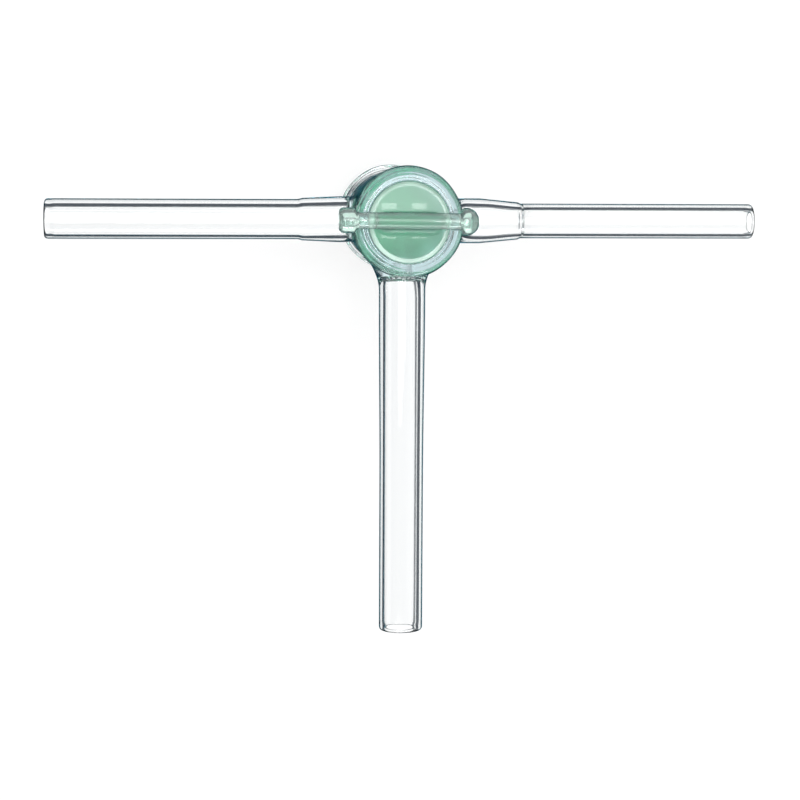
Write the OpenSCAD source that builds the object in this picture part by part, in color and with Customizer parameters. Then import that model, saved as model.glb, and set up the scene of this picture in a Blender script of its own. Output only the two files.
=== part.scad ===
// Three-way glass stopcock. A barrel with three fused arms holds a tapered
// plug with a T-shaped bore and a cross handle. Millimetres, +Z up along the
// barrel, origin at the centre of the barrel's foot, long arm towards -Y.

/* [Barrel] */
// Height of the barrel from its foot to its top rim
barrel_h = 50; // [46:1:60]
// Outside diameter of the barrel between its rims
barrel_d = 23.6; // [22.6:0.2:23.8]
// Outside diameter of the rim at each end
rim_d = 26; // [25.6:0.2:28]
// Height of each rim
rim_h = 3.2; // [2.6:0.2:4]
// Radius that rounds the outer edge of the foot
foot_round = 1.2; // [0.8:0.1:1.6]
// Radius that rounds the outer edge of the top rim
head_round = 2.6; // [1:0.1:2.6]
// Radius that rounds the outer edge of a rim on the side of the barrel
rim_edge = 0.5; // [0.3:0.05:0.5]
// Radius that rounds each mouth of the ground seat
mouth_round = 0.4; // [0.2:0.1:0.6]
// Height of the ports above the foot
port_z = 30; // [26:1:32]

/* [Ground plug] */
// Plug diameter at the ports
plug_d = 16.5; // [15.5:0.1:17]
// Length over which the plug grows 1 mm in diameter
taper_run = 10; // [8:1:12]
// Clearance all round between the ground plug and its seat
seat_gap = 0.03; // [0.02:0.01:0.08]
// Height of the plug's small end above the foot
plug_inset = 2.5; // [1:0.5:4]
// Height of the plug's large end above the top rim
plug_rise = 1.6; // [0.8:0.2:3]
// Radius that rounds both ends of the plug
plug_round = 0.75; // [0.4:0.05:1]
// Diameter of the T-shaped bore and of the ports in the barrel
bore_d = 4; // [3:0.5:5]

/* [Handle] */
// Length of the cross handle
handle_l = 31.8; // [28:0.2:36]
// Thickness of the handle between its knobs
handle_d = 3.8; // [3.4:0.1:4.6]
// Length of each knob
knob_l = 3.3; // [3:0.1:4.4]
// Length over which the handle swells to a knob
knob_fade = 1.2; // [0.8:0.1:2.4]
// Diameter of the left knob, a short round bar
left_knob_d = 5.8; // [5:0.1:6.4]
// Radius that rounds the outer end of the left knob
left_knob_round = 1.1; // [0.6:0.1:1.6]
// Diameter of the right knob, a dome
right_knob_d = 6.3; // [6:0.1:7]
// Radius that rounds the outer end of the right knob
right_knob_round = 2.9; // [2:0.1:2.9]
// Height of the handle's centre line above the plug's large end
handle_rise = 3.4; // [3:0.1:8]
// Width of the neck that joins the handle to the plug
neck_w = 14; // [8:0.2:16]
// Thickness of the neck
neck_t = 3.4; // [2.6:0.2:3.6]

/* [Left arm] */
// Distance from the barrel's axis to the left arm's end
left_l = 83.4; // [70:0.2:110]
// Outside diameter of the left tube
left_d = 9.4; // [9:0.1:9.6]
// Wall of the left tube
left_wall = 1.3; // [1.1:0.01:1.4]
// Diameter of the left stub where it leaves the barrel
left_root_d = 10.8; // [10.4:0.1:11]
// Diameter of the left stub where the tube is sealed to it
left_seal_d = 10; // [9.8:0.1:10.3]
// Distance from the barrel's axis to the left seal
left_seal = 23.8; // [22:0.2:32]
// Length of the shoulder at the left seal
left_shoulder = 1.4; // [1:0.1:3]
// Diameter of the left bore at its root
left_root_bore = 7.3; // [7.1:0.1:7.6]

/* [Right arm] */
// Distance from the barrel's axis to the right arm's end
right_l = 84.3; // [70:0.2:110]
// Outside diameter of the right tube
right_d = 8.2; // [7.8:0.1:8.4]
// Wall of the right tube
right_wall = 1.16; // [1:0.01:1.3]
// Diameter of the right stub where it leaves the barrel
right_root_d = 10.6; // [10.4:0.1:11]
// Distance from the barrel's axis to where the right stub starts to narrow
right_root_l = 18.6; // [16:0.2:20]
// Diameter of the right stub where the tube is sealed to it
right_seal_d = 8.6; // [8.5:0.1:9]
// Distance from the barrel's axis to the right seal
right_seal = 28.6; // [26:0.2:36]
// Length of the shoulder at the right seal
right_shoulder = 1.2; // [1:0.1:3]
// Diameter of the right bore at its root
right_root_bore = 7.1; // [6.4:0.1:7.4]
// Depth of the groove that the seal leaves in the right bore, just past the shoulder
groove_depth = 0.2; // [0.1:0.05:0.3]
// Width of that groove
groove_w = 0.8; // [0.6:0.1:1.2]

/* [Long arm] */
// Distance from the barrel's axis to the long arm's end
long_l = 98.2; // [80:0.2:130]
// Outside diameter of the long tube
long_d = 10.4; // [10:0.1:10.7]
// Wall of the long tube
long_wall = 1.33; // [1.1:0.01:1.45]
// Diameter of the long arm where it leaves the barrel
long_root_d = 11; // [10.8:0.1:11.4]

/* [Arm roots] */
// Radius of the fillet where a side arm grows out of the barrel
side_flare_r = 1.6; // [1.2:0.1:3]
// Radius of the fillet where the long arm grows out of the barrel
long_flare_r = 12; // [8:0.5:12]
// Distance from the barrel's axis to where the left stub starts to narrow
left_root_l = 14.5; // [13:0.5:16]
// Distance from the barrel's axis to where the long arm starts to narrow
long_root_l = 16.4; // [16.4:0.2:18]
// Length over which the long arm narrows to its tube
long_fade = 46.1; // [16:0.1:56]
// Glass between the barrel's outside and the chamber of the left bore
left_floor = 0.2; // [0.1:0.1:2]
// Length of the round-ended chamber that opens into the left bore
left_chamber = 5.4; // [3:0.1:8]
// Glass between the barrel's outside and the chamber of the right bore
right_floor = 1.6; // [1:0.1:3]
// Length of the round-ended chamber that opens into the right bore
right_chamber = 4.4; // [3:0.1:8]
// Glass between the barrel's outside and the chamber of the long bore
long_floor = 2.8; // [1.5:0.1:4]
// Length of the round-ended chamber that opens into the long bore
long_chamber = 1; // [0.8:0.1:4]
// How square the closed end of each chamber is: 2 for half an ellipse, more for a blunter end
bluntness = 3; // [2:0.5:4]

/* [Hidden] */
$fn = 96;
// How far a cutting tool runs past the face that it cuts
over = 1;
// Number of steps that draw an arc or a fade
steps = 10;
// Direction of each arm, turned about +Z from +X
LEFT = 180;
RIGHT = 0;
LONG = -90;
barrel_r = barrel_d / 2;
rim_r = rim_d / 2;
bore_r = bore_d / 2;
plug_top = barrel_h + plug_rise;
handle_z = plug_top + handle_rise;
handle_r = handle_d / 2;
// How far the foot of an arm's fillet is sunk in the barrel, so that the two surfaces cross
flare_sink = 0.1;
// Cove where a rim meets the barrel: what the rim's rounded edge leaves of its width
rim_cove = rim_r - barrel_r - rim_edge;
// Angle between the ground surface and the barrel's axis
lean = atan(1 / taper_run / 2);

// Radius of the ground plug at a height above the foot
function taper_r(z) = plug_d / 2 + (z - port_z) / taper_run / 2;

// Points of an arc: centre, radius, first and last angle
function arc(c, r, first, last) =
    [for (i = [0:steps]) let (t = first + (last - first) * i / steps)
        c + r * [cos(t), sin(t)]];

// Points of a smooth S-curve that leaves p and reaches q along the axis of the turned shape
function fade(p, q) =
    [for (i = [0:steps]) let (u = i / steps)
        [p[0] + (q[0] - p[0]) * (1 - cos(180 * u)) / 2, p[1] + (q[1] - p[1]) * u]];

// The same outline seen from its other end, with its heights taken from h
function flip(points, h) =
    [for (i = [len(points) - 1:-1:0]) [points[i][0], h - points[i][1]]];

// Turns the outline of a shape about +Z, closing it along the axis
module turned(points) {
    rotate_extrude()
        polygon(concat([[0, points[0][1]]], points, [[0, points[len(points) - 1][1]]]));
}

// Lays a shape that was turned about +Z along an arm, at the height of the ports
module along(direction) {
    translate([0, 0, port_z])
        rotate([0, 90, direction])
            children();
}

// Points of a rim, from its end face to the wall of the barrel
function rim(round) = concat(
    arc([rim_r - round, round], round, -90, 0),
    arc([rim_r - rim_edge, rim_h - rim_edge], rim_edge, 0, 90),
    arc([barrel_r + rim_cove, rim_h + rim_cove], rim_cove, 270, 180));

// Ground taper through the barrel, with each mouth rounded
module seat() {
    edge = mouth_round / cos(lean);
    foot_x = taper_r(mouth_round) + seat_gap + edge;
    head_x = taper_r(barrel_h - mouth_round) + seat_gap + edge;
    turned(concat(
        [[foot_x, -over]],
        arc([foot_x, mouth_round], mouth_round, 270, 180 - lean),
        arc([head_x, barrel_h - mouth_round], mouth_round, 180 - lean, 90),
        [[head_x, barrel_h + over]]));
}

// Points of the foot of an arm, from its axis inside the barrel to the top of its fillet
function arm_foot(root_d, fillet_r) =
    let (
        fillet_x = root_d / 2 + fillet_r,
        fillet_s = sqrt(pow(barrel_r - flare_sink + fillet_r, 2) - pow(fillet_x, 2)),
        turn = atan(fillet_s / fillet_x),
        fillet = arc([fillet_x, fillet_s], fillet_r, 180 + turn, 180))
    concat([[fillet[0][0], 0]], fillet);

// Points of a shoulder, where the stub of an arm narrows to the tube sealed to it
function shoulder(stub_d, tube_d, at, length) =
    fade([stub_d / 2, at - length / 2], [tube_d / 2, at + length / 2]);

// Points of the outside of a tube's end, melted round
function lip(d, wall, to) = arc([(d - wall) / 2, to - wall / 2], wall / 2, 0, 90);

// Bore of an arm: the port, a round-ended chamber past the floor that narrows to the bore of
// the tube at the seal, and the tube to its open end
module arm_bore(d, wall, root_bore, floor, chamber, seal, to) {
    r = d / 2 - wall;
    widen = root_bore / 2 - bore_r;
    turned(concat(
        [[bore_r, 0]],
        [for (i = [0:steps]) let (t = 90 * i / steps)
            [bore_r + widen * pow(sin(t), 2 / bluntness),
             barrel_r + floor + chamber * (1 - pow(cos(t), 2 / bluntness))]],
        [[r, seal]],
        arc([r + wall / 2, to - wall / 2], wall / 2, 180, 90),
        [[r + wall / 2, to + over]]));
}

// Groove that a seal leaves round a bore
module groove(r, at) {
    turned([[r, at - groove_w / 2], [r + groove_depth, at], [r, at + groove_w / 2]]);
}

module shell() {
    groove_at = right_seal + right_shoulder / 2 + groove_w / 2;
    color("lightcyan", 0.5)
    difference() {
        union() {
            turned(concat(rim(foot_round), flip(rim(head_round), barrel_h)));
            along(LEFT)
                turned(concat(
                    arm_foot(left_root_d, side_flare_r),
                    [[left_root_d / 2, left_root_l]],
                    shoulder(left_seal_d, left_d, left_seal, left_shoulder),
                    lip(left_d, left_wall, left_l)));
            along(RIGHT)
                turned(concat(
                    arm_foot(right_root_d, side_flare_r),
                    [[right_root_d / 2, right_root_l]],
                    shoulder(right_seal_d, right_d, right_seal, right_shoulder),
                    lip(right_d, right_wall, right_l)));
            along(LONG)
                turned(concat(
                    arm_foot(long_root_d, long_flare_r),
                    fade([long_root_d / 2, long_root_l], [long_d / 2, long_root_l + long_fade]),
                    lip(long_d, long_wall, long_l)));
        }
        seat();
        along(LEFT)
            arm_bore(left_d, left_wall, left_root_bore, left_floor, left_chamber, left_seal, left_l);
        along(RIGHT) {
            arm_bore(right_d, right_wall, right_root_bore, right_floor, right_chamber, right_seal,
                right_l);
            groove(right_d / 2 - right_wall, groove_at);
        }
        along(LONG)
            arm_bore(long_d, long_wall, long_d - 2 * long_wall, long_floor, long_chamber,
                long_root_l + long_fade, long_l);
    }
}

// Ground part of the plug, rounded at both ends
module plug_body() {
    edge = plug_round / cos(lean);
    low = plug_inset + plug_round;
    high = plug_top - plug_round;
    turned(concat(
        arc([taper_r(low) - edge, low], plug_round, -90, -lean),
        arc([taper_r(high) - edge, high], plug_round, -lean, 90)));
}

// Points of one half of the handle, from the bar to the rounded end of its knob
function knob(d, round) =
    let (half = handle_l / 2)
    concat(
        fade([handle_r, half - knob_l - knob_fade], [d / 2, half - knob_l]),
        arc([d / 2 - round, half - round], round, 0, 90));

// Cross handle: a round bar with a short round bar for its left knob and a dome for its right one
module handle() {
    translate([0, 0, handle_z])
        rotate([0, 90, 0])
            turned(concat(
                flip(knob(left_knob_d, left_knob_round), 0),
                knob(right_knob_d, right_knob_round)));
}

// Flat neck with round edges between the plug's large end and the handle
module neck() {
    edge_x = (neck_w - neck_t) / 2;
    translate([0, 0, plug_top - plug_round])
        linear_extrude(handle_rise + plug_round) {
            square([2 * edge_x, neck_t], center = true);
            for (x = [-edge_x, edge_x]) translate([x, 0]) circle(d = neck_t);
        }
}

module plug() {
    color("mediumaquamarine", 0.6)
    difference() {
        union() {
            plug_body();
            neck();
            handle();
        }
        along(LEFT) cylinder(r = bore_r, h = plug_d);
        along(RIGHT) cylinder(r = bore_r, h = plug_d);
        along(LONG) cylinder(r = bore_r, h = plug_d);
    }
}

shell();
plug();
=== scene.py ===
import math

import bmesh
import bpy
import numpy as np
from mathutils import Matrix, Vector


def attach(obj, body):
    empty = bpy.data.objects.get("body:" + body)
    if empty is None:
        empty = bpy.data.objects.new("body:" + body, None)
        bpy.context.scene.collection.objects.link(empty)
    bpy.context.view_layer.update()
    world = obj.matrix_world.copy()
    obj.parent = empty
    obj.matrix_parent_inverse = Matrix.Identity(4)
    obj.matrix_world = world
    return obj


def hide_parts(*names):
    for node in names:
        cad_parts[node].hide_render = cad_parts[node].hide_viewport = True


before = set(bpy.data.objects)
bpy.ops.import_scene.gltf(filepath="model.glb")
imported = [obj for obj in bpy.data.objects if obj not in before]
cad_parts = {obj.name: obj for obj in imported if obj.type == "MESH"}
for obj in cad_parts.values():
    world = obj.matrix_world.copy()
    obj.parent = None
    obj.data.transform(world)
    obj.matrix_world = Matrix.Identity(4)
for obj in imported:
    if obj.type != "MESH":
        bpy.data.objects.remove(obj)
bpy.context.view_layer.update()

# ---------------------------------------------------------------------------
# Barrel: a thick tube of clear borosilicate glass with a rounded rim pressed at
# each end. Its seat is ground to a 1:10 taper, and three ports of 4 mm are
# drilled through its wall at one height. All lengths here are in millimetres.

MM = 0.001
# Cells across a quarter of a turn. A ring round an arm or a port has four times as many
QUARTER = 32
# The four quarters by the arm in them, with none at the back
RIGHT, BACK, LEFT, LONG = 0, 1, 2, 3

barrel_h, barrel_r = 50.0, 11.8
rim_r, rim_h = 13.0, 3.2
# Roundings of the rims' inner edges, of the coves behind them, of the outer corners of the
# foot and the head, and of the seat's two mouths
rim_edge, rim_cove = 0.5, 0.7
foot_round, head_round, mouth_round = 2.2, 2.6, 0.4
port_z, bore_r = 30.0, 2.0
# The plug's radius at the height of the ports, and how fast it grows with the height
plug_r, taper = 8.25, 0.05
seat_gap = 0.03
# Half heights of the square patches round the arms and round the ports
arm_patch, port_patch = 12.5, 6.0


def arc(centre, radius, first, last, steps):
    """Points (radius, height) on an arc between two angles in degrees."""
    t = np.radians(np.linspace(first, last, steps + 1))
    return np.array(centre) + radius * np.column_stack([np.cos(t), np.sin(t)])


def run(p, q, steps):
    """Points on the straight line from p to q."""
    return np.linspace(p, q, steps + 1)


def fade(p, q, steps):
    """Points of a smooth S-curve that leaves p and reaches q along the height."""
    u = np.linspace(0, 1, steps + 1)
    r = p[0] + (q[0] - p[0]) * (1 - np.cos(math.pi * u)) / 2
    return np.column_stack([r, p[1] + (q[1] - p[1]) * u])


def polar(r, t, z):
    """Points at radius r, angle t and height z about the barrel's axis."""
    r, t, z = np.broadcast_arrays(r, t, z)
    return np.stack([r * np.cos(t), r * np.sin(t), z], -1)


def turned(profile, quarters=(RIGHT, BACK, LEFT, LONG)):
    """Patch swept by a profile of (radius, height) points through some quarters of a turn."""
    t = np.concatenate([np.radians(90 * k + np.linspace(-45, 45, QUARTER + 1))
                        for k in quarters])
    profile = np.asarray(profile, float)
    return polar(profile[:, :1], t, profile[:, 1:])


def taper_r(z):
    """Radius of the plug's ground taper at a height."""
    return plug_r + (z - port_z) * taper


def seat_r(z):
    """Radius of the barrel's ground seat at a height."""
    return taper_r(z) + seat_gap


seat_low, seat_high = seat_r(0) + mouth_round, seat_r(barrel_h) + mouth_round
seat_above = run((seat_r(port_z + port_patch), port_z + port_patch),
                 (seat_high - mouth_round, barrel_h - mouth_round), 14)
seat_below = run((seat_low - mouth_round, mouth_round),
                 (seat_r(port_z - port_patch), port_z - port_patch), 24)
head_rim = np.vstack([
    arc((seat_high, barrel_h - mouth_round), mouth_round, 180, 90, 6),
    run((seat_high, barrel_h), (rim_r - head_round, barrel_h), 8)[1:-1],
    arc((rim_r - head_round, barrel_h - head_round), head_round, 90, 0, 20),
    run((rim_r, barrel_h - head_round), (rim_r, barrel_h - rim_h + rim_edge), 2)[1:-1],
    arc((rim_r - rim_edge, barrel_h - rim_h + rim_edge), rim_edge, 0, -90, 8),
    arc((barrel_r + rim_cove, barrel_h - rim_h - rim_cove), rim_cove, 90, 180, 8)[1:],
    run((barrel_r, barrel_h - rim_h - rim_cove), (barrel_r, port_z + arm_patch), 4)[1:]])
foot_rim = np.vstack([
    run((barrel_r, port_z - arm_patch), (barrel_r, rim_h + rim_cove), 10)[:-1],
    arc((barrel_r + rim_cove, rim_h + rim_cove), rim_cove, 180, 270, 8),
    arc((rim_r - rim_edge, rim_h - rim_edge), rim_edge, 90, 0, 8)[1:],
    run((rim_r, rim_h - rim_edge), (rim_r, foot_round), 2)[1:-1],
    arc((rim_r - foot_round, foot_round), foot_round, 0, -90, 12),
    run((rim_r - foot_round, 0), (seat_low, 0), 8)[1:-1],
    arc((seat_low, mouth_round), mouth_round, 270, 180, 6)])
outside_z = run((barrel_r, port_z - arm_patch), (barrel_r, port_z + arm_patch), QUARTER)
seat_z = np.linspace(port_z - port_patch, port_z + port_patch, QUARTER + 1)

# ---------------------------------------------------------------------------
# Arms: three tubes drawn from clear borosilicate glass and sealed to the barrel
# in the flame, so they are one piece with it. The seal leaves a stub with a
# shoulder and a rounded chamber in each bore. The open ends are fire-polished.

root_l = 14.5
# Lip of an arm's end, along the arm, and how much the flame has closed the bore there
lip_l, lip_in = 0.9, 0.15
# Lengths along the arm in which the bore opens behind the lip and drifts off its axis,
# and half the length of the ring that a seal leaves in the bore
lip_fade, bore_drift, seam_half = 1.6, 4.0, 0.35
# Fillet above and below each arm, and how round the closed end of its bore is
least_fillet, bluntness = 1.6, 3.0
FLARE_ROWS, TUBE_ROWS, LIP_ROWS, BORE_ROWS, CHAMBER_ROWS = 24, 14, 16, 12, 18
# Rows of a drilled passage and of the patch round it, which crowd towards its edge
DRILLED_ROWS, PORT_ROWS, crowding = 4, 14, 1.3
UP = np.array([0.0, 0.0, 1.0])
left_r, right_r, long_r = 4.7, 4.1, 5.2
# Outside holds (radius, distance) points from the root to where the plain tube begins.
# Floor is the solid glass between the barrel's outside and the chamber. The bore is wider
# by wide up to the first distance of widen, and plain from the second. Seam is the height
# of the ring that the seal left in the bore. Aside is how far the arm was sealed on off
# the barrel's axis, and siding how far its bore lies off the arm's own axis.
arms = {
    LEFT: dict(
        r=left_r, wall=1.3, end=83.4, floor=0.2, chamber=1.8, wide=0.25, widen=(22.6, 24.6),
        seam=0.0, aside=-0.16, siding=0.33, fillet=1.6,
        outside=np.vstack([run((5.4, root_l), (5.0, 23.1), 24),
                           fade((5.0, 23.1), (left_r, 24.5), 8)[1:]])),
    RIGHT: dict(
        r=right_r, wall=1.16, end=84.3, floor=1.6, chamber=4.4, wide=0.62, widen=(19.1, 28.3),
        seam=0.35, aside=-0.14, siding=-0.15, fillet=1.6,
        outside=np.vstack([run((5.3, root_l), (5.3, 18.6), 4),
                           run((5.3, 18.6), (4.42, 27.6), 20)[1:],
                           fade((4.42, 27.6), (right_r, 28.5), 8)[1:]])),
    LONG: dict(
        r=long_r, wall=1.33, end=98.2, floor=1.9, chamber=0.8, wide=0.0, widen=(18.0, 20.0),
        seam=0.0, aside=0.37, siding=-0.18, fillet=5.5,
        outside=np.vstack([[(5.5, root_l)], fade((5.5, 16.4), (long_r, 62.5), 30)])),
}


def square():
    """Coordinates from -1 to 1 of the points round a square block, one side after another."""
    u, one = np.linspace(-1, 1, QUARTER + 1)[:-1], np.ones(QUARTER)
    return np.concatenate([u, one, -u, -one, [-1]]), np.concatenate([-one, u, one, -u, [-1]])


SQUARE_A, SQUARE_B = square()
TURN = np.radians(-135 + np.arange(4 * QUARTER + 1) * 90 / QUARTER)


def facing(side):
    """Unit vectors of the direction in which a quarter faces: outwards, and across."""
    t = math.radians(90 * side)
    return np.array([math.cos(t), math.sin(t), 0]), np.array([-math.sin(t), math.cos(t), 0])


def ring(side, s, r):
    """Rings of radius r round the axis of an arm, at a distance s from the barrel's axis."""
    out, across = facing(side)
    s, r, t = np.broadcast_arrays(s, r, TURN)
    return (s[..., None] * out + (r * np.cos(t))[..., None] * across
            + (r * np.sin(t) + port_z)[..., None] * UP)


def between(rings, steps):
    """Rows that lead from each ring to the next in a straight line."""
    rows = []
    for p, q, n in zip(rings, rings[1:], steps):
        rows += [p + (q - p) * i / n for i in range(n)]
    return np.array(rows + [rings[-1]])


def melted(points, distance):
    """Moves points on to the surface where distance is nought, as a flame rounds a seal."""
    p, e = points.copy(), 1e-4
    for _ in range(10):
        slope = np.stack([(distance(p + e * axis) - distance(p - e * axis)) / (2 * e)
                          for axis in np.eye(3)], -1)
        p -= (distance(p) / np.maximum((slope ** 2).sum(-1), 1e-6))[..., None] * slope
    return p


def joined(r, *distances):
    """Distance to several surfaces run together with a fillet of radius r."""
    depth = [np.maximum(r - d, 0) for d in distances]
    return r - np.sqrt(sum(d * d for d in depth))


def outside_r(arm, s):
    """Radius of an arm's outside at a distance from the barrel's axis."""
    return np.interp(s, arm["outside"][:, 1], arm["outside"][:, 0])


def hub(p):
    """Distance to the outside of the barrel with its arms sealed on."""
    out_of_barrel = np.hypot(p[..., 0], p[..., 1]) - barrel_r
    nearest = out_of_barrel
    for side, arm in arms.items():
        out, across = facing(side)
        s, a, b = p @ out, p @ across - arm["aside"], p[..., 2] - port_z
        # The flame left the fillet widest at the arm's two sides
        level = a * a / np.maximum(a * a + b * b, 1e-6)
        fillet = least_fillet + (arm["fillet"] - least_fillet) * level
        sealed = joined(fillet, out_of_barrel, np.hypot(a, b) - outside_r(arm, s))
        nearest = np.where(s > 0, np.minimum(nearest, sealed), nearest)
    return nearest


def port_rows(side, wall):
    """Rows over a tapered wall, from the edge of a port to the square patch round it."""
    height = port_z + bore_r * np.sin(TURN)
    edge = np.arcsin(bore_r * np.cos(TURN) / wall(height))
    t = (np.linspace(0, 1, PORT_ROWS + 1) ** crowding)[:, None]
    turn = edge + (math.radians(45) * SQUARE_A - edge) * t
    z = height + (port_z + port_patch * SQUARE_B - height) * t
    return polar(wall(z), turn + math.radians(90 * side), z)


def fillet_end(arm):
    """Distance from the barrel's axis at which the fillet of an arm has ended."""
    return barrel_r + arm["fillet"] + 0.4


def flare_rows(side, arm):
    """Rows from the square patch on the barrel to the arm, over the fillet of the seal."""
    across = facing(side)[1]
    aside = arm["aside"] * across
    foot = polar(barrel_r, math.radians(45) * SQUARE_A + math.radians(90 * side),
                 port_z + arm_patch * SQUARE_B)
    root_r = outside_r(arm, root_l)
    on_barrel = np.sqrt(barrel_r ** 2 - (root_r * np.cos(TURN) + arm["aside"]) ** 2)
    corner = ring(side, on_barrel, root_r) + aside
    top = ring(side, fillet_end(arm), outside_r(arm, fillet_end(arm))) + aside
    t = np.linspace(0, 1, FLARE_ROWS + 1)[:, None, None]
    return melted((1 - t) ** 2 * foot + 2 * t * (1 - t) * corner + t ** 2 * top, hub)


def arm_rows(side, arm):
    """Patches from the barrel's outside over the arm, its lip and its bore to the seat."""
    across = facing(side)[1]
    outside = arm["outside"][arm["outside"][:, 1] > fillet_end(arm)]
    r, wall, end = arm["r"], arm["wall"], arm["end"]
    bore, wide = r - wall, r - wall + arm["wide"]
    seal = barrel_r + arm["floor"]
    wide_till, plain_from = arm["widen"]
    t = np.radians(np.linspace(0, 90, CHAMBER_ROWS + 1))
    chamber = np.column_stack([bore_r + (wide - bore_r) * np.cos(t) ** (2 / bluntness),
                               seal + arm["chamber"] * (1 - np.sin(t) ** (2 / bluntness))])
    t = np.radians(np.linspace(0, 180, LIP_ROWS + 1))[:, None]
    mouth, half_wall = bore - lip_in, (r - bore + lip_in) / 2
    lip = np.hstack([mouth + half_wall * (1 + np.cos(t)), end - lip_l * (1 - np.sin(t))])
    behind_lip = end - lip_l - lip_fade
    seam_end = (bore, plain_from + 2 * seam_half)
    seam_top = (bore - arm["seam"], plain_from + seam_half)
    profile = np.vstack([
        outside,
        run(outside[-1], (r, end - lip_l), TUBE_ROWS)[1:-1],
        lip,
        fade((mouth, end - lip_l), (bore, behind_lip), 6)[1:],
        run((bore, behind_lip), seam_end, BORE_ROWS)[1:-1],
        fade(seam_end, seam_top, 5)[:-1],
        fade(seam_top, (bore, plain_from), 5)[:-1],
        fade((bore, plain_from), (wide, wide_till), 8)[:-1],
        chamber,
        run(chamber[-1], (bore_r, barrel_r - 1), DRILLED_ROWS)[1:]])
    tube = ring(side, profile[:, 1:], profile[:, :1])
    # The bore leaves the port on the barrel's axis and is drawn over to one side as it goes
    before = len(outside) + TUBE_ROWS - 1
    after = len(profile) - before - len(lip)
    inner = np.concatenate([np.zeros(before), (1 - np.cos(t[:, 0])) / 2, np.ones(after)])
    drawn = np.where(inner > 0.5, np.clip((profile[:, 1] - seal) / bore_drift, 0, 1), 1)
    tube = tube + ((arm["aside"] + arm["siding"] * inner) * drawn)[:, None, None] * across
    seat = port_rows(side, seat_r)
    drilled = len(profile) - DRILLED_ROWS
    port = between([tube[-1], seat[0]], [3])[1:-1]
    return [(np.concatenate([flare_rows(side, arm), tube[:drilled + 1]]), "clear"),
            (np.concatenate([tube[drilled:], port, seat[:1]]), "drilled"), (seat, "greased")]


shell_patches = [
    (turned(seat_above), "greased"),
    (turned(head_rim), "clear"),
    (turned(foot_rim), "clear"),
    (turned(seat_below), "greased"),
    (melted(turned(outside_z, [BACK]), hub), "clear"),
    (turned(np.column_stack([seat_r(seat_z), seat_z]), [BACK]), "greased"),
]
for side, arm in arms.items():
    shell_patches += arm_rows(side, arm)

# ---------------------------------------------------------------------------
# Surface of the barrel and arms: clear borosilicate glass, worked hot, so the
# outside has set in slow waves. The ground seat is greased, which fills its
# grain, and the drilled ports are left matt.

# Nothing moves inside the first radius, so the seat keeps its taper, or past the second,
# so the arms keep theirs
still_r, arms_r = 9.8, 16.5
# Waves in the outside of the barrel, on its whole length and more on its head
wave_depth, head_wave_depth, head_drop = 0.10, 0.14, 0.16
# Tool marks round the head: radius, width, depth and the angle at which they wander
tool_marks = ((12.1, 0.20, 0.15, 0.6), (11.25, 0.16, 0.07, 2.4), (10.3, 0.25, 0.06, 4.0))
# Ripples across the barrel's length, shallow all round and deep where two arms meet
ripple_depth, lump_depth = 0.03, 0.25
foot_flat = 1.0
# Points closer than this are one, and an edge that turns by more degrees than this is sharp
weld, crease = 2e-4, 40
# Share of a face that grease makes invisible, its roughness, and the share it scatters
SURFACES = {"clear": (0, 0, 0), "greased": (1, 0, 0), "drilled": (0.8, 0.3, 0),
            "ground": (0, 0.55, 0.48), "pressed": (0, 0.32, 0.05), "handle": (0, 0.35, 0.09)}


def near(angle, middle, width):
    """Share from 1 at an angle of the turn to 0 away from it, for angles from 0 to 2 pi."""
    return np.exp(-((angle - middle) / width) ** 2)


def uneven(p):
    """Moves the outside of the barrel a little inwards in slow waves, as worked glass sets."""
    r, t, z = np.hypot(p[..., 0], p[..., 1]), np.arctan2(p[..., 1], p[..., 0]), p[..., 2]
    turn = np.mod(t, 2 * math.pi)
    share = np.clip((r - still_r) / 1.4, 0, 1) * np.clip((arms_r - r) / 3, 0, 1)
    head = np.clip((z - 42) / 4, 0, 1)
    wave = (np.sin(2 * t + 0.9) + np.sin(3 * t + 0.09 * z + 2.2) + 0.7 * np.sin(5 * t - 0.15 * z)
            + 0.5 * np.sin(9 * t + 0.3 * z + 1.0)) / 3.2
    inward = (wave_depth + head_wave_depth * head) * (1 + wave) / 2 * share
    tilt = np.sin(2 * t - 1.2) * 0.6 + np.sin(5 * t + 0.4) * 0.4
    down = head_drop * head * share * (1 + tilt) / 2
    # The tool pressed hardest at the left
    pressed = (1 + 1.6 * near(turn, 3.7, 0.75)) * np.clip((z - 46) / 2, 0, 1)
    for radius, width, depth, angle in tool_marks:
        groove = np.exp(-((r - radius - 0.12 * np.sin(2 * t + angle)) / width) ** 2)
        down += depth * pressed * groove * (0.6 + 0.4 * np.sin(3 * t + angle))
    lump = near(turn, 3.95, 0.55) + 0.55 * near(turn, 2.45, 0.45)
    ripple = (1 + np.sin(0.9 * z + 3 * t + 1.2 * np.sin(2 * t + 1))) / 2
    inward += (ripple_depth + lump_depth * lump) * share * ripple
    # The foot is ground a little flat on its left
    foot = np.clip((r - still_r) / 2, 0, 1) * np.clip((6 - z) / 2, 0, 1)
    inward += foot_flat * near(turn, 3.2, 0.28) * foot
    moved = p.copy()
    moved[..., :2] *= (1 - inward / np.maximum(r, 1))[..., None]
    moved[..., 2] -= down
    return moved


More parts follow.
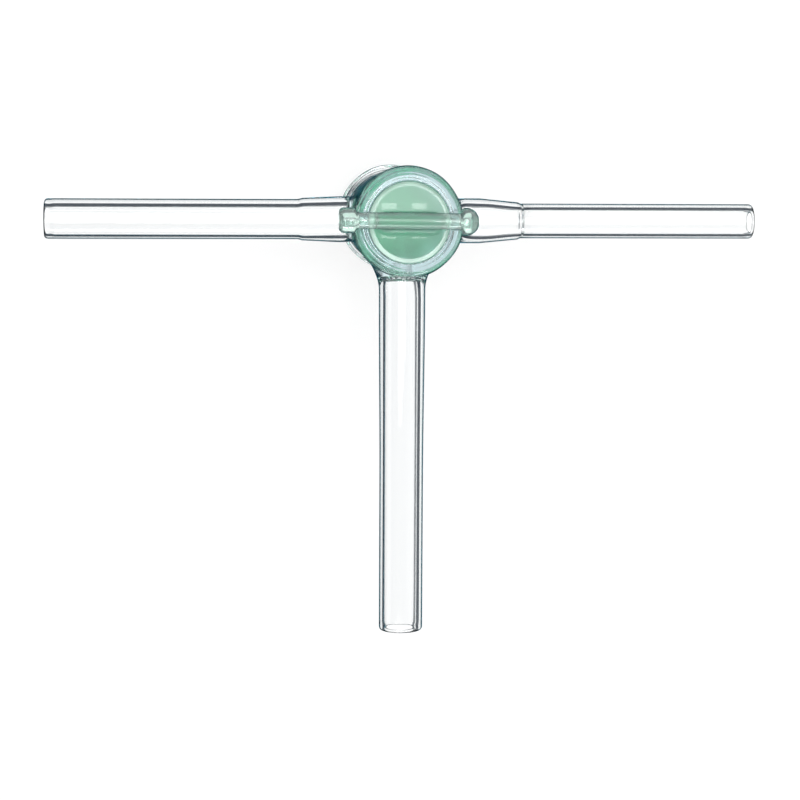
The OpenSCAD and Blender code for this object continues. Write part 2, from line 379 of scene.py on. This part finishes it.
def surface_shares(kind, centre):
    """The three shares of each face of one kind of surface, from the faces' centres."""
    shares = np.array(SURFACES[kind]) * np.ones((len(centre), 1))
    x, z, t = np.abs(centre[:, 0]), centre[:, 2], np.arctan2(centre[:, 1], centre[:, 0])
    if kind == "handle":
        # The fire has polished the knobs more than the bar
        shares[:, 1] *= 1 - 0.55 * np.clip((x - 6) / 5, 0, 1)
    if kind == "ground":
        # The edge is ground most on the side towards the long arm
        shares[:, 2] *= 0.85 - 0.25 * np.sin(t + 0.4) + 0.12 * np.sin(5 * t)
    if kind == "greased":
        # The grease is smeared, and thinner near the head
        smear = 0.78 + 0.34 * np.sin(3 * t + 0.3 * z) * np.sin(5 * t - 0.22 * z + 1)
        shares[:, 0] = np.clip(smear - 0.45 * np.clip((z - 36) / 8, 0, 1), 0.2, 1)
    return shares


def solid(name, patches):
    """A closed glass mesh from patches of points, each with the name of its kind of surface."""
    points, quads, shares, start = [], [], [], 0
    for patch, kind in patches:
        rows, columns = patch.shape[:2]
        index = start + np.arange(rows * columns).reshape(rows, columns)
        cells = np.stack([index[:-1, :-1], index[:-1, 1:], index[1:, 1:], index[1:, :-1]], -1)
        points.append(patch.reshape(-1, 3) * MM)
        quads.append(cells.reshape(-1, 4))
        centre = ((patch[:-1, :-1] + patch[1:, 1:]) / 2).reshape(-1, 3)
        shares.append(surface_shares(kind, centre))
        start += rows * columns
    mesh = bpy.data.meshes.new(name)
    mesh.from_pydata(np.concatenate(points).tolist(), [], np.concatenate(quads).tolist())
    for share, values in zip(("greased", "matt", "scattering"), np.concatenate(shares).T):
        mesh.attributes.new(share, "FLOAT", "FACE").data.foreach_set("value", values.copy())
    bm = bmesh.new()
    bm.from_mesh(mesh)
    bmesh.ops.remove_doubles(bm, verts=bm.verts, dist=weld * MM)
    bmesh.ops.recalc_face_normals(bm, faces=bm.faces)
    bm.to_mesh(mesh)
    bm.free()
    mesh.shade_smooth()
    mesh.set_sharp_from_angle(angle=math.radians(crease))
    obj = bpy.data.objects.new(name, mesh)
    bpy.context.scene.collection.objects.link(obj)
    return obj


def linear(code):
    """An sRGB hex colour as linear values."""
    parts = [int(code[i:i + 2], 16) / 255 for i in (0, 2, 4)]
    return [c / 12.92 if c <= 0.04045 else ((c + 0.055) / 1.055) ** 2.4 for c in parts] + [1.0]


def add(tree, kind, links=None, inputs=None, **settings):
    """Adds a node, sets its properties and input values, and links its inputs."""
    node = tree.nodes.new(kind)
    for name, value in settings.items():
        setattr(node, name, value)
    for name, value in (inputs or {}).items():
        node.inputs[name].default_value = value
    for name, socket in (links or {}).items():
        tree.links.new(socket, node.inputs[name])
    return node


def blank_tree(block):
    """The empty node tree of a material or a world."""
    block.use_nodes = True
    block.node_tree.nodes.clear()
    return block.node_tree


borosilicate_ior = 1.474
# Lengths of the waves and the grain in its surface, and their height
flame_wave, ground_grain, relief_height = 5.0, 0.3, 0.01


def glass(name, tint, painted_edge_shade_tint, ground_tint, absorbed, density, coat):
    """Borosilicate glass whose faces are clear, greased, matt or ground by their shares.

    The tints are those of clear faces, of faces seen at a glancing angle, where the tint is
    painted shade, and of ground ones.
    Absorbed is the colour that the glass itself takes with its density, per metre.
    """
    material = bpy.data.materials.new(name)
    tree = blank_tree(material)
    greased, matt, scattering = [
        add(tree, "ShaderNodeAttribute", attribute_name=share).outputs["Fac"]
        for share in ("greased", "matt", "scattering")]
    # Ground faces scatter light, which makes them milky
    colour = add(tree, "ShaderNodeMix", data_type="RGBA", links={0: scattering},
                 inputs={6: linear(tint), 7: linear(ground_tint)})
    # Painted shade: faces seen at a glancing angle take a dark tint, in place of the dark
    # # surroundings that the edges of glass show
    weight = add(tree, "ShaderNodeLayerWeight", inputs={"Blend": 0.5})
    painted_edge_shade = add(tree, "ShaderNodeMapRange", links={"Value": weight.outputs["Facing"]},
                   inputs={"From Min": 0.60, "From Max": 0.70})
    edge_shaded_colour = add(tree, "ShaderNodeMix", data_type="RGBA",
                links={0: painted_edge_shade.outputs[0], 6: colour.outputs[2]},
                inputs={7: linear(painted_edge_shade_tint)})
    # The flame leaves slow waves, and grinding a fine grain
    place = add(tree, "ShaderNodeTexCoord")
    waves = add(tree, "ShaderNodeTexNoise", links={"Vector": place.outputs["Object"]},
                inputs={"Scale": 1 / (flame_wave * MM), "Detail": 1.0})
    grain = add(tree, "ShaderNodeTexNoise", links={"Vector": place.outputs["Object"]},
                inputs={"Scale": 1 / (ground_grain * MM), "Detail": 3.0})
    ground_in = add(tree, "ShaderNodeMath", operation="MULTIPLY",
                    links={0: grain.outputs[0], 1: matt})
    relief = add(tree, "ShaderNodeMath", operation="ADD",
                 links={0: ground_in.outputs[0], 1: waves.outputs[0]})
    bump = add(tree, "ShaderNodeBump", links={"Height": relief.outputs[0]},
               inputs={"Strength": 1.0, "Distance": relief_height * MM})
    worn = add(tree, "ShaderNodeMapRange", links={"Value": grain.outputs[0]},
               inputs={"From Min": 0.3, "From Max": 0.7, "To Min": 0.94, "To Max": 1.06})
    roughness = add(tree, "ShaderNodeMath", operation="MULTIPLY",
                    links={0: matt, 1: worn.outputs[0]})
    let_through = add(tree, "ShaderNodeMath", operation="SUBTRACT",
                      inputs={0: 1.0}, links={1: scattering})
    surface = add(tree, "ShaderNodeBsdfPrincipled",
                  inputs={"IOR": borosilicate_ior, "Coat Weight": coat},
                  links={"Base Color": edge_shaded_colour.outputs[2], "Roughness": roughness.outputs[0],
                         "Normal": bump.outputs[0],
                         "Transmission Weight": let_through.outputs[0]})
    # Grease bends light as glass does, so a face that it wets can't be seen
    wet = add(tree, "ShaderNodeBsdfTransparent")
    joint = add(tree, "ShaderNodeMixShader",
                links={0: greased, 1: surface.outputs[0], 2: wet.outputs[0]})
    volume = add(tree, "ShaderNodeVolumeAbsorption",
                 inputs={"Color": linear(absorbed), "Density": density})
    add(tree, "ShaderNodeOutputMaterial",
        links={"Surface": joint.outputs[0], "Volume": volume.outputs[0]})
    return material


# Water-clear at right angles, with painted dark blue-green shade on the edges where the eye
# # looks along the wall
clear_glass = glass("fire_polished_clear_borosilicate", tint="FFFFFF", painted_edge_shade_tint="123A48",
                    ground_tint="FFFFFF", absorbed="38ACB8", density=13.0, coat=0.0)
shell = solid("barrel_and_arms", [(uneven(patch), kind) for patch, kind in shell_patches])
shell.data.materials.append(clear_glass)
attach(shell, "shell")
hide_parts("shell")

# ---------------------------------------------------------------------------
# Plug: one solid piece of green borosilicate glass, pressed in a mould. Its
# taper is ground into the seat and held there by grease, and a T-shaped bore
# of 4 mm is drilled through it at the height of the ports.

plug_inset, plug_top, plug_round = 2.5, barrel_h + 1.6, 0.75
plug_low, plug_high = plug_inset + plug_round, plug_top - plug_round
# Flat-looking middle of the large end, and how far it swells above its edge
disc_r, crown = 8.3, 0.5

# The taper above the seat's mouth is ground but not greased, like the edge over it
seat_top = barrel_h - mouth_round
small_end = np.vstack([
    run((0, plug_inset), (taper_r(plug_low) - plug_round, plug_inset), 10)[:-1],
    arc((taper_r(plug_low) - plug_round, plug_low), plug_round, -90, 0, 8)])
taper_below = run((taper_r(plug_low), plug_low),
                  (taper_r(port_z - port_patch), port_z - port_patch), 24)
taper_above = run((taper_r(port_z + port_patch), port_z + port_patch),
                  (taper_r(seat_top), seat_top), 18)
large_edge = np.vstack([
    run((taper_r(seat_top), seat_top), (taper_r(plug_high), plug_high), 4)[:-1],
    arc((taper_r(plug_high) - plug_round, plug_high), plug_round, 0, 90, 12),
    run((taper_r(plug_high) - plug_round, plug_top), (disc_r, plug_top), 3)[1:]])


def tee_rows(side):
    """Wall of one leg of the T-shaped bore, from the ground taper to where the legs meet."""
    across = bore_r * np.cos(TURN)
    mouth = np.sqrt(taper_r(port_z + bore_r * np.sin(TURN)) ** 2 - across ** 2)
    meet = {RIGHT: np.maximum(-across, 0), LEFT: np.maximum(across, 0),
            LONG: np.abs(across)}[side]
    return between([ring(side, mouth, bore_r), ring(side, meet, bore_r)], [12])


# ---------------------------------------------------------------------------
# Handle: the bar across the plug's large end and the neck under it, pressed in
# one with the plug. The bar has a squarer knob on its left end and a rounder
# one on its right, and it came out of the mould a little askew.

handle_z = plug_top + 3.4
bar_half, bar_r = 15.9, 1.9
# Half the neck's length and width, its fillet, half the length of bar that its patch
# takes, and the height at which its upright sides end
neck_half, neck_r, neck_fillet, neck_patch = 5.3, 1.7, 1.1, 9.2
neck_top = handle_z - 1.0
# Radius, rounding and length of each knob, and the length of its curve down to the bar
left_knob_r, left_knob_round, left_knob_l = 2.88, 1.1, 3.3
right_knob_r, right_knob_round, right_knob_l = 3.14, 2.9, 3.3
knob_fade = 1.2
# How far the handle is off the plug's axis, its turn in degrees, and the height of the
# neck over which it leans
shift_x, shift_y, twist, lean_h = -0.47, 0.42, 0.6, 1.5


def knob(radius, rounding, length, end_rows, round_rows):
    """Half of the bar, from the middle of its end over a knob: (radius, distance) points."""
    return np.vstack([
        run((0, bar_half), (radius - rounding, bar_half), end_rows)[:-1],
        arc((radius - rounding, bar_half - rounding), rounding, 90, 0, round_rows),
        fade((radius, bar_half - length), (bar_r, bar_half - length - knob_fade), 12),
        [(bar_r, neck_patch)]])


def bar(profile, turn):
    """Patch of the handle: (radius, distance along it) points turned about its own axis."""
    profile = np.asarray(profile, float)
    r, x, t = np.broadcast_arrays(profile[:, :1], profile[:, 1:], turn)
    return np.stack([x, r * np.sin(t), handle_z - r * np.cos(t)], -1)


def handle_top(p):
    """Distance to the plug's large end with the neck and the handle run together."""
    x, y, z = p[..., 0], p[..., 1], p[..., 2]
    neck = np.hypot(np.maximum(np.abs(x) - neck_half, 0), y) - neck_r
    above = z - neck_top
    neck = np.where(above > 0, np.hypot(np.maximum(neck, 0), above), neck)
    top = plug_top + crown * (1 - (x * x + y * y) / disc_r ** 2)
    return joined(neck_fillet, z - top, neck, np.hypot(y, z - handle_z) - bar_r)


def askew(p):
    """Sets the handle a little off the plug's axis."""
    share = np.clip((p[..., 2] - plug_top - crown) / lean_h, 0, 1)
    share = share * share * (3 - 2 * share)
    moved = p.copy()
    moved[..., 0] += shift_x * share
    moved[..., 1] += (shift_y - math.radians(twist) * p[..., 0]) * share
    return moved


middle = np.column_stack([np.full(QUARTER + 1, bar_r),
                          np.linspace(-neck_patch, neck_patch, QUARTER + 1)])
upper_half = np.radians(np.linspace(90, 270, QUARTER + 1))
whole_turn = np.radians(np.linspace(-90, 270, 2 * QUARTER + 1))
# The outlines of the large end, of the neck's foot and head, and of the bar's lower half,
# point by point with one another
disc = polar(disc_r, TURN, plug_top)
long_side = np.abs(SQUARE_B) >= 1
neck_x = np.where(long_side, SQUARE_A * (neck_half + neck_r * math.sin(math.radians(45))),
                  np.sign(SQUARE_A) * (neck_half + neck_r * np.cos(SQUARE_B * math.pi / 4)))
past_end = np.clip((np.abs(neck_x) - neck_half) / neck_r, 0, 1)
neck_y = np.where(long_side, np.sign(SQUARE_B) * neck_r * np.sqrt(1 - past_end ** 2),
                  neck_r * np.sin(SQUARE_B * math.pi / 4))
neck_foot = np.stack([neck_x, neck_y, np.full_like(neck_x, plug_top)], -1)
neck_head = np.stack([neck_x, neck_y, handle_z - np.sqrt(bar_r ** 2 - neck_y ** 2)], -1)
under_bar = np.stack([SQUARE_A * neck_patch, bar_r * np.sin(SQUARE_B * math.pi / 2),
                      handle_z - bar_r * np.cos(SQUARE_B * math.pi / 2)], -1)
knob_left = knob(left_knob_r, left_knob_round, left_knob_l, 6, 10)
knob_right = knob(right_knob_r, right_knob_round, right_knob_l, 2, 14)

plug_patches = [
    (turned(small_end), "clear"),
    (turned(taper_below), "greased"),
    (turned(taper_above), "greased"),
    (turned(large_edge), "ground"),
    (turned(np.column_stack([taper_r(seat_z), seat_z]), [BACK]), "greased"),
    (melted(between([disc, neck_foot, neck_head, under_bar], [14, 8, 10]), handle_top),
     "pressed"),
    (melted(bar(middle, upper_half), handle_top), "handle"),
    (bar(knob_right, whole_turn), "handle"),
    (bar(knob_left * [1, -1], whole_turn), "handle"),
]
for side in arms:
    plug_patches += [(port_rows(side, taper_r), "greased"), (tee_rows(side), "drilled")]

# Sea-green all through, deepest where the plug is thickest, with painted dark green shade on
# # its edges at glancing angles, a milky white ground edge and soft window lights on the end
green_glass = glass("pressed_green_borosilicate", tint="F0FAF5", painted_edge_shade_tint="2C7C68",
                    ground_tint="DCFFF2", absorbed="30CEAD", density=54.0, coat=0.6)
plug = solid("plug_with_handle", [(askew(patch), kind) for patch, kind in plug_patches])
plug.data.materials.append(green_glass)
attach(plug, "plug")
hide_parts("plug")

# ---------------------------------------------------------------------------
# Floor: a sheet of matt white paper that the stopcock stands on. It keeps the
# soft shadow beside the barrel and runs out into the white of the backdrop.

floor_half = 6.0
floor_mesh = bpy.data.meshes.new("floor")
floor_mesh.from_pydata([(-floor_half, -floor_half, 0), (floor_half, -floor_half, 0),
                        (floor_half, floor_half, 0), (-floor_half, floor_half, 0)],
                       [], [(0, 1, 2, 3)])
floor = bpy.data.objects.new("floor", floor_mesh)
bpy.context.scene.collection.objects.link(floor)

# Nearly plain white, so only the shadow is seen
paper_material = bpy.data.materials.new("matt_white_paper")
tree = blank_tree(paper_material)
path = add(tree, "ShaderNodeLightPath")
paper = add(tree, "ShaderNodeBsdfDiffuse", inputs={"Color": linear("F7F7F7")})
white = add(tree, "ShaderNodeEmission", inputs={"Color": (1, 1, 1, 1), "Strength": 1.0})
# The paper is whiter away from the stopcock, where no shadow falls
place = add(tree, "ShaderNodeTexCoord")
reach = add(tree, "ShaderNodeVectorMath", operation="LENGTH", links={0: place.outputs["Object"]})
whiter = add(tree, "ShaderNodeMapRange", links={"Value": reach.outputs["Value"]},
             inputs={"From Min": 0.15, "From Max": 0.6, "To Min": 0.75, "To Max": 1.0})
seen = add(tree, "ShaderNodeMath", operation="MULTIPLY",
           links={0: path.outputs["Is Camera Ray"], 1: whiter.outputs[0]})
lit = add(tree, "ShaderNodeMixShader",
          links={0: seen.outputs[0], 1: paper.outputs[0], 2: white.outputs[0]})
# Rays that glass has bent go through the paper to the studio's light
bent = add(tree, "ShaderNodeMath", operation="MAXIMUM",
           links={0: path.outputs["Is Transmission Ray"], 1: path.outputs["Is Glossy Ray"]})
through = add(tree, "ShaderNodeBsdfTransparent")
shown = add(tree, "ShaderNodeMixShader",
            links={0: bent.outputs[0], 1: lit.outputs[0], 2: through.outputs[0]})
add(tree, "ShaderNodeOutputMaterial", links={"Surface": shown.outputs[0]})
floor.data.materials.append(paper_material)

# ---------------------------------------------------------------------------
# Studio: what the glass sees round it, a light table below with a dark border,
# which draws the dark lines along the walls of the tubes, white walls and a
# grey ceiling. Two window lights show on the plug's end.

world = bpy.data.worlds.new("studio")
bpy.context.scene.world = world
tree = blank_tree(world)
path = add(tree, "ShaderNodeLightPath")
place = add(tree, "ShaderNodeTexCoord")
axes = add(tree, "ShaderNodeSeparateXYZ", links={0: place.outputs["Generated"]})
# Height of the direction, from -1 to 1, leaning a little to the left
leaning = add(tree, "ShaderNodeMath", operation="MULTIPLY_ADD", inputs={1: 0.06},
              links={0: axes.outputs["X"], 2: axes.outputs["Z"]})
height = add(tree, "ShaderNodeMapRange", links={"Value": leaning.outputs[0]},
             inputs={"From Min": -1.0, "From Max": 1.0})
table, border, wall, ceiling = "FFFFFF", "0A2434", "FFFFFF", "9CA0A4"
stops = [(-1.0, table), (-0.845, table), (-0.815, border), (-0.46, border), (-0.36, wall),
         (0.30, wall), (0.5, "A8ACB0"), (1.0, ceiling)]
ramp = add(tree, "ShaderNodeValToRGB", links={"Fac": height.outputs[0]})
while len(ramp.color_ramp.elements) < len(stops):
    ramp.color_ramp.elements.new(0.5)
for element, (z, code) in zip(ramp.color_ramp.elements, stops):
    element.position = (z + 1) / 2
    element.color = linear(code)
# In mirror reflections the table is deep teal
downward = add(tree, "ShaderNodeMapRange", links={"Value": axes.outputs["Z"]},
               inputs={"From Min": -0.3, "From Max": -0.5, "To Min": 0.0, "To Max": 1.0})
bounced = add(tree, "ShaderNodeMath", operation="SUBTRACT", use_clamp=True,
              links={0: path.outputs["Is Glossy Ray"], 1: path.outputs["Is Transmission Ray"]})
glossy = add(tree, "ShaderNodeMath", operation="MULTIPLY",
             links={0: bounced.outputs[0], 1: downward.outputs[0]})
shade = add(tree, "ShaderNodeMix", data_type="RGBA", inputs={7: linear("205260")},
            links={0: glossy.outputs[0], 6: ramp.outputs["Color"]})
# The right side of the studio is a little brighter than the left
side_light = add(tree, "ShaderNodeMapRange", links={"Value": axes.outputs["X"]},
                 inputs={"From Min": -0.15, "From Max": 0.1, "To Min": 0.97, "To Max": 1.08})
seen_by_glass = add(tree, "ShaderNodeBackground",
                    links={"Color": shade.outputs[2], "Strength": side_light.outputs[0]})
plain = add(tree, "ShaderNodeBackground", inputs={"Color": (1, 1, 1, 1), "Strength": 0.75})
bent = add(tree, "ShaderNodeMath", operation="MAXIMUM",
           links={0: path.outputs["Is Transmission Ray"], 1: path.outputs["Is Glossy Ray"]})
first = add(tree, "ShaderNodeMixShader",
            links={0: bent.outputs[0], 1: plain.outputs[0], 2: seen_by_glass.outputs[0]})
backdrop = add(tree, "ShaderNodeBackground", inputs={"Color": (1, 1, 1, 1), "Strength": 1.0})
all_rays = add(tree, "ShaderNodeMixShader",
               links={0: path.outputs["Is Camera Ray"], 1: first.outputs[0],
                      2: backdrop.outputs[0]})
add(tree, "ShaderNodeOutputWorld", links={"Surface": all_rays.outputs[0]})


def softbox(name, place, aim, size, watts):
    """A rectangular lamp at one point, in metres, that shines on another."""
    lamp = bpy.data.lights.new(name, "AREA")
    lamp.shape, lamp.energy = "RECTANGLE", watts
    lamp.size, lamp.size_y = size
    obj = bpy.data.objects.new(name, lamp)
    obj.location = place
    obj.rotation_mode = "QUATERNION"
    obj.rotation_quaternion = (Vector(aim) - Vector(place)).to_track_quat("-Z", "Y")
    bpy.context.scene.collection.objects.link(obj)


softbox("softbox_above", (0.05, 0.225, 0.95), (0.05, 0.225, 0), (0.9, 0.5), 5.0)
softbox("window_left", (-0.047, -0.013, 0.9), (-0.047, -0.013, 0), (0.09, 0.22), 0.5)
softbox("window_right", (0.142, -0.013, 0.9), (0.142, -0.013, 0), (0.09, 0.22), 0.5)
softbox("strip_front", (0.0, -0.9, 0.4), (0, 0, 0.05), (0.9, 0.15), 4.0)

# ---------------------------------------------------------------------------
# Camera: high over the handle's end and a little to the left, so the long arm
# points down the frame and the foot shows beyond the head. Its place and aim
# are in millimetres, its roll in degrees.

camera_at = np.array([-51.0, 14.0, 575.0])
camera_aim = np.array([0.0, -42.74, 30.0])
camera_roll = 0.28
ahead = (camera_aim - camera_at) / np.linalg.norm(camera_aim - camera_at)
right = np.cross(ahead, [0, 1, 0])
right /= np.linalg.norm(right)
up = np.cross(right, ahead)
c, s = math.cos(math.radians(camera_roll)), math.sin(math.radians(camera_roll))
right, up = right * c + up * s, up * c - right * s
lens = bpy.data.cameras.new("camera")
lens.lens, lens.sensor_width = 104.0, 36.0
lens.clip_start, lens.clip_end = 0.05, 20
camera = bpy.data.objects.new("camera", lens)
camera.matrix_world = Matrix([[right[i], up[i], -ahead[i], camera_at[i] * MM]
                              for i in range(3)] + [[0, 0, 0, 1]])
bpy.context.scene.collection.objects.link(camera)
bpy.context.scene.camera = camera

bpy.context.scene.view_settings.view_transform = "Standard"
